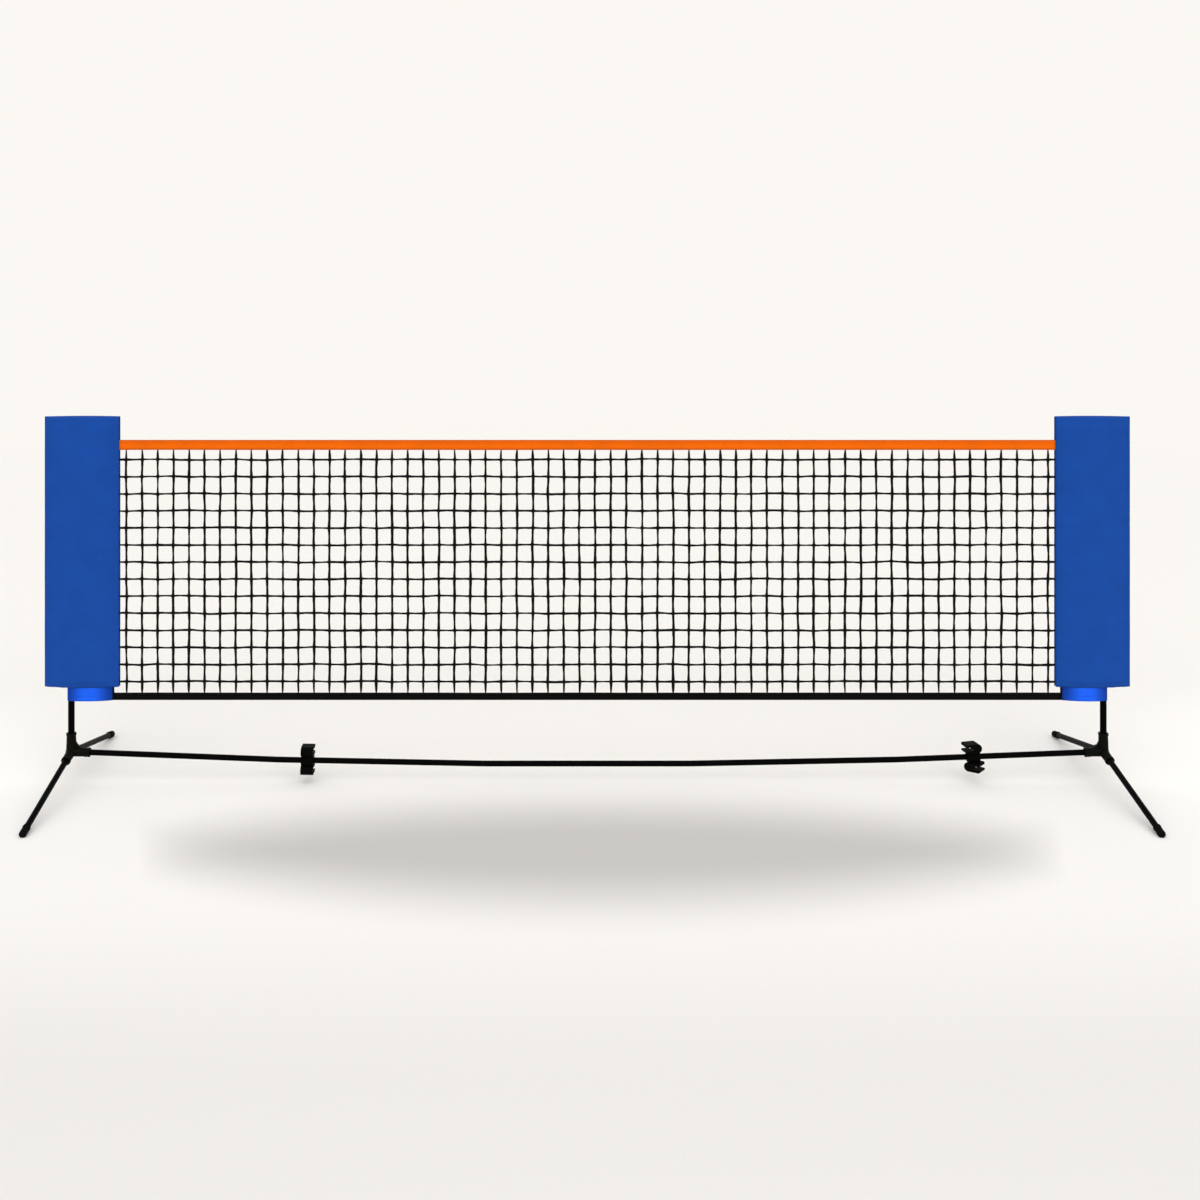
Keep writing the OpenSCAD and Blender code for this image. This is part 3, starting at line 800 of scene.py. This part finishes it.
def cover_grid(side, face):
    """A cover's panel at rest: rows from its bottom hem up and over to the seam on the top."""
    columns = np.linspace(-COVER_OUTER, COVER_INNER, COVER_COLUMNS + 1)
    top = COVER_Z[1]
    points = np.zeros((COVER_ROWS + 1 + TOP_ROWS, COVER_COLUMNS + 1, 3))
    for j, d in enumerate(columns):
        depth = cover_half_depth(d)
        for i in range(COVER_ROWS + 1):
            z = COVER_Z[0] + (top - TOP_ROUND - COVER_Z[0]) * i / COVER_ROWS
            points[i, j] = placed(side, d, face * depth, z)
        for i in range(1, TOP_ROWS + 1):
            t = i / TOP_ROWS
            bend = min(TOP_ROUND, depth)
            angle = min(1, 2 * t) * math.pi / 2
            y = depth - bend + bend * math.cos(angle)
            y *= 1 - max(0, 2 * t - 1)
            z = top - TOP_ROUND + TOP_ROUND * math.sin(angle)
            points[COVER_ROWS + i, j] = placed(side, d, face * max(y, 0), z)
    return points


SIM_FRAMES = 22
PUSH = 9.0
HEM_POINTS = 2
HEM_STITCH_EVERY = 5
MOST_OUT = 0.0045
MOST_IN = 0.0004
MOST_DOWN = 0.001


def simulated(name, rest, face):
    """The panel's cloth, blown out a little against its seams, as padding does. Seams stay put."""
    rows, columns = rest.shape[:2]
    builder = Builder()
    builder.grid(rest)
    mesh = bpy.data.meshes.new(name + "_cloth")
    mesh.from_pydata(np.concatenate(builder.points).tolist(), [], builder.faces)
    cloth_object = bpy.data.objects.new(name + "_cloth", mesh)
    bpy.context.scene.collection.objects.link(cloth_object)
    pins = cloth_object.vertex_groups.new(name="pins")
    for i in range(rows):
        for j in range(columns):
            seam = j == 0 or j == columns - 1 or i >= COVER_ROWS - 1
            hem = i < HEM_POINTS
            if seam or hem and j % HEM_STITCH_EVERY == 0:
                pins.add([i * columns + j], 1.0, "ADD")
    cloth = cloth_object.modifiers.new("cloth", "CLOTH")
    settings = cloth.settings
    settings.quality = 6
    settings.mass = 0.25
    settings.tension_stiffness = 25
    settings.compression_stiffness = 25
    settings.shear_stiffness = 8
    settings.bending_stiffness = 0.4
    settings.vertex_group_mass = "pins"
    settings.shrink_min = -0.012
    cloth.collision_settings.use_self_collision = False
    cloth.point_cache.frame_start = 1
    cloth.point_cache.frame_end = SIM_FRAMES
    scene = bpy.context.scene
    usual = tuple(scene.gravity)
    scene.gravity = (0, face * PUSH, usual[2])
    for number in range(1, SIM_FRAMES + 1):
        scene.frame_set(number)
    depsgraph = bpy.context.evaluated_depsgraph_get()
    evaluated = cloth_object.evaluated_get(depsgraph)
    moved = np.array([tuple(v.co) for v in evaluated.data.vertices]).reshape(rest.shape)
    bpy.data.objects.remove(cloth_object)
    scene.gravity = usual
    scene.frame_set(1)
    offset = moved - rest
    out = np.clip(offset[..., 1] * face, -MOST_IN, MOST_OUT)
    result = rest.copy()
    result[..., 1] += out * face
    result[..., 2] += np.clip(offset[..., 2], -MOST_DOWN, MOST_DOWN)
    return result


PANEL_THICK = COVER_CLOTH * 0.8


def thick_panel(builder, outer, side, face):
    """A panel's outside with an inside a cloth's thickness behind it, and closed edges."""
    inner = outer.copy()
    inner[..., 1] -= face * np.minimum(PANEL_THICK, np.abs(outer[..., 1]))
    round_part = np.clip((outer[..., 2] - COVER_Z[1] + TOP_ROUND) / TOP_ROUND, 0, None)
    inner[..., 2] -= round_part * PANEL_THICK
    flip = (side * face) < 0
    builder.grid(outer, flip=flip)
    builder.grid(inner, flip=not flip)
    n, m = outer.shape[:2]
    second = n * m
    edge = ([(0, j) for j in range(m)] + [(i, m - 1) for i in range(1, n)]
            + [(n - 1, j) for j in range(m - 2, -1, -1)] + [(i, 0) for i in range(n - 2, 0, -1)])
    for a, b in zip(edge, edge[1:] + edge[:1]):
        p, q = a[0] * m + a[1], b[0] * m + b[1]
        builder.join([q, p, second + p, second + q], flip)


PUCKER = 0.0011
PUCKER_REACH = 0.07
BROAD_CREASE = 0.0016
FINE_CREASE = 0.0005
FREE_FROM_SEAM = 9


def wrinkled(points, side, face):
    """Small creases that tighten towards the seams, where the cloth is drawn in by its stitches."""
    out = points.copy()
    columns = points.shape[1]
    for i in range(COVER_ROWS - 1):
        for j in range(1, columns - 1):
            x, y, z = points[i, j]
            near = min(j, columns - 1 - j) / columns
            pucker = (math.exp(-near / PUCKER_REACH)
                      * ripple(0, z * 55, 2, seed=31 + side + face) * PUCKER)
            broad = ripple(x * 7, z * 3.2, 1, seed=33 + side + 2 * face) * BROAD_CREASE
            fine = ripple(x * 24, z * 17, 4, seed=35 + side + 2 * face) * FINE_CREASE
            free = min(1.0, near * FREE_FROM_SEAM)
            out[i, j, 1] += face * max(-MOST_IN, pucker + (broad + fine) * free)
    return out


SEAM_COLUMN = 2
HEM_ROW = 2


def cover_panel(side, face, name, replaced):
    """Half a cover, with stitches by its hems and inner seam and two rows by its outer seam."""
    rest = cover_grid(side, face)
    shaped = simulated(name, rest, face)
    shaped = wrinkled(shaped, side, face)
    builder = Builder()
    thick_panel(builder, shaped, side, face)
    panel = builder.make(name, cover_cloth)
    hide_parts(replaced)

    stitches = Builder()
    between_hems = slice(1, COVER_ROWS)
    for column in (SEAM_COLUMN, -1 - SEAM_COLUMN, SEAM_COLUMN - 1):
        stitch_row(stitches, shaped[between_hems, column], (0, face, 0))
    for row in (HEM_ROW, COVER_ROWS - 1):
        stitch_row(stitches, shaped[row, 1:-1], (0, face, 0))
    rows_piece = stitches.make(name + "_stitching", cover_thread)


BINDING_R = 0.0019
BINDING_RINGS = 120
BINDING_SIDES = 10
BINDING_ENDS = (0.001, 0.0015)
BINDING_IN = 0.001
BINDING_SWAY = 0.0003


def cover_binding(side, name):
    """The rolled edge that closes the outer seam of a cover."""
    builder = Builder()
    zs = np.linspace(COVER_Z[0] + BINDING_ENDS[0], COVER_Z[1] - BINDING_ENDS[1], BINDING_RINGS)
    sway = [ripple(0, z * 12, 0, seed=41) * BINDING_SWAY for z in zs]
    line = np.array([placed(side, -COVER_OUTER + BINDING_IN + d, 0, z) for d, z in zip(sway, zs)])
    builder.tube(line, [BINDING_R] * BINDING_RINGS, (1, 0, 0), (0, 1, 0), BINDING_SIDES)
    builder.make(name, cover_cloth)


net_twine()
folded_tape("orange_top_tape", TOP_TAPE_Z, False, orange_webbing, orange_thread,
            "top_tape")
folded_tape("black_bottom_tape", BOTTOM_TAPE_Z, True, black_webbing, black_thread,
            "bottom_tape")
tape_cord("headline_cord", TOP_TAPE_Z[1] - FOLD_R, "top_cord")
tape_cord("foot_cord", BOTTOM_TAPE_Z[0] + FOLD_R, "bottom_cord")
for side, word in ((-1, "left"), (1, "right")):
    padded_sleeve(side, word + "_padded_sleeve", word + "_sleeve")
    for face, place in ((-1, "front"), (1, "back")):
        cover_panel(side, face, f"{word}_{place}_panel", f"{word}_cover_{place}")
    cover_binding(side, word + "_cover_binding")

# ---- floor and light ----

# CLEAR: so far from the middle the floor gives way to the room's plain colour. NEAR: it darkens
# towards the front. LIFT: painted light, a little lighter under the net, where it partly fills in
# the net's own cast shadow. SHADE: a painted shadow, the pool of shade in front of the net, with
# its middle, half its size, and how it widens to the back, fades and softens.

PALE = (0.965, 0.939, 0.896)
FLOOR_TONE = (0.91, 0.886, 0.845)
FLOOR_HALF = 14
CLEAR_FROM = 5.0
CLEAR_TO = 9.0
NEAR_TONE = 0.85
NEAR_FROM = -0.6
NEAR_TO = -1.6
LIFT_TONE = 1.06
LIFT_AT = 0.15
LIFT_FROM = 0.25
LIFT_TO = 0.9
SHADE_AT = (0.018, -0.489)
SHADE_HALF = (1.16, 0.316)
SHADE_FLARE = 0.08
SHADE_FADE = 0.06
SHADE_ENDS = 0.7
SHADE_SOFT = 0.705
SHADE_TONE = 0.62


def floor():
    """The studio's floor: pale, a little darker to the front, a little painted light under the
    net, and a soft pool of painted shadow in front of it.
    """
    mesh = bpy.data.meshes.new("studio_floor")
    corners = [(-FLOOR_HALF, -FLOOR_HALF, 0), (FLOOR_HALF, -FLOOR_HALF, 0),
               (FLOOR_HALF, FLOOR_HALF, 0), (-FLOOR_HALF, FLOOR_HALF, 0)]
    mesh.from_pydata(corners, [], [(0, 1, 2, 3)])
    made = Material("studio_floor", roughness=0.9, Specular_IOR_Level=0.0)
    place = made.coordinates.outputs["Object"]
    apart = made.node("ShaderNodeSeparateXYZ")
    made.link(place, apart.inputs[0])
    x, y = apart.outputs["X"], apart.outputs["Y"]
    # Painted shadow: a soft pool of shade in front of the net, drawn into the floor's colour.
    v = made.math("DIVIDE", made.math("SUBTRACT", y, SHADE_AT[1]), SHADE_HALF[1])
    reach = made.math("MULTIPLY", made.math("ADD", made.math("MULTIPLY", v, SHADE_FLARE), 1),
                      SHADE_HALF[0])
    u = made.math("DIVIDE", made.math("SUBTRACT", x, SHADE_AT[0]), reach)
    inside = made.math("MAXIMUM", made.math("SUBTRACT", 1, made.math("MULTIPLY", u, u)), 0)
    eased = made.math("DIVIDE", made.math("MULTIPLY", inside, inside),
                      made.math("ADD", inside, SHADE_FADE))
    half = made.math("POWER", eased, SHADE_ENDS)
    sides = [made.spread(made.math(how, half, v), 0, 1, -SHADE_SOFT, SHADE_SOFT, True)
             for how in ("SUBTRACT", "ADD")]
    depth = made.math("SUBTRACT", made.math("ADD", *sides), 1)
    shade_tone = made.math("SUBTRACT", 1, made.math("MULTIPLY", depth, 1 - SHADE_TONE))
    near_tone = made.spread(y, NEAR_TONE, 1.0, NEAR_TO, NEAR_FROM, True)
    # Painted light: the floor's colour is lighter in a band under the net.
    from_net = made.math("ABSOLUTE", made.math("SUBTRACT", y, LIFT_AT), 0)
    lift = made.spread(from_net, LIFT_TONE, 1.0, LIFT_FROM, LIFT_TO, True)
    tone = made.math("MULTIPLY", made.math("MULTIPLY", shade_tone, near_tone), lift)
    scaled = made.node("ShaderNodeVectorMath", operation="SCALE")
    scaled.inputs[0].default_value = FLOOR_TONE
    made.link(tone, scaled.inputs["Scale"])
    made.link(scaled.outputs["Vector"], made.shader.inputs["Base Color"])
    distance = made.node("ShaderNodeVectorMath", operation="LENGTH")
    made.link(place, distance.inputs[0])
    fade = made.spread(distance.outputs["Value"], 0.0, 1.0, CLEAR_FROM, CLEAR_TO)
    clear = made.node("ShaderNodeBsdfTransparent")
    mix = made.node("ShaderNodeMixShader")
    made.link(fade, mix.inputs["Fac"])
    made.link(made.shader.outputs["BSDF"], mix.inputs[1])
    made.link(clear.outputs["BSDF"], mix.inputs[2])
    made.link(mix.outputs["Shader"], made.tree.nodes["Material Output"].inputs["Surface"])
    mesh.materials.append(made.material)
    piece = bpy.data.objects.new("studio_floor", mesh)
    bpy.context.scene.collection.objects.link(piece)


def world(base, top, front, below):
    """A pale room that is brightest overhead and in front. The camera sees its plain colour."""
    made = bpy.data.worlds.new("studio")
    bpy.context.scene.world = made
    made.use_nodes = True
    tree = made.node_tree
    tree.nodes.clear()

    def node(kind, **values):
        new = tree.nodes.new(kind)
        for name, value in values.items():
            setattr(new, name, value)
        return new

    def ramp(value, start, end, to_min, to_max):
        new = node("ShaderNodeMapRange", interpolation_type="SMOOTHSTEP")
        for name, number in (("From Min", start), ("From Max", end), ("To Min", to_min),
                             ("To Max", to_max)):
            new.inputs[name].default_value = number
        tree.links.new(value, new.inputs["Value"])
        return new.outputs["Result"]

    def combined(operation, a, b):
        new = node("ShaderNodeMath", operation=operation)
        tree.links.new(a, new.inputs[0])
        tree.links.new(b, new.inputs[1])
        return new.outputs["Value"]

    direction = node("ShaderNodeSeparateXYZ")
    tree.links.new(node("ShaderNodeTexCoord").outputs["Generated"], direction.inputs[0])
    up, back = direction.outputs["Z"], direction.outputs["Y"]
    overhead = ramp(up, 0.05, 0.85, base, base + top)
    forward = ramp(back, -0.95, -0.3, front, 0.0)
    horizon = (-0.05, 0.02)
    above = combined("MULTIPLY", combined("ADD", overhead, forward), ramp(up, *horizon, 0.0, 1.0))
    strength = combined("ADD", above, ramp(up, *horizon, below, 0.0))
    lit = node("ShaderNodeBackground")
    tree.links.new(strength, lit.inputs["Strength"])
    seen = node("ShaderNodeBackground")
    seen.inputs["Color"].default_value = (*PALE, 1)
    path = node("ShaderNodeLightPath").outputs
    shown = combined("MAXIMUM", combined("MAXIMUM", path["Is Camera Ray"], path["Is Glossy Ray"]),
                     path["Is Transmission Ray"])
    mix = node("ShaderNodeMixShader")
    tree.links.new(shown, mix.inputs["Fac"])
    tree.links.new(lit.outputs["Background"], mix.inputs[1])
    tree.links.new(seen.outputs["Background"], mix.inputs[2])
    output = node("ShaderNodeOutputWorld")
    tree.links.new(mix.outputs["Shader"], output.inputs["Surface"])


def area_light(name, place, target, size, watts):
    """A rectangular softbox that faces its target."""
    data = bpy.data.lights.new(name, "AREA")
    data.shape = "RECTANGLE"
    data.size, data.size_y = size
    data.energy = watts
    lamp = bpy.data.objects.new(name, data)
    lamp.location = place
    lamp.rotation_euler = (Vector(target) - Vector(place)).to_track_quat("-Z", "Y").to_euler()
    bpy.context.scene.collection.objects.link(lamp)


floor()
world(base=0.12, top=1.25, front=1.6, below=0.75)
area_light("front_softbox", place=(0.4, -5.6, 4.2), target=(0, 0, 0.4), size=(5.5, 3.0), watts=60)

bpy.context.scene.view_settings.view_transform = "Standard"

bpy.context.view_layer.update()
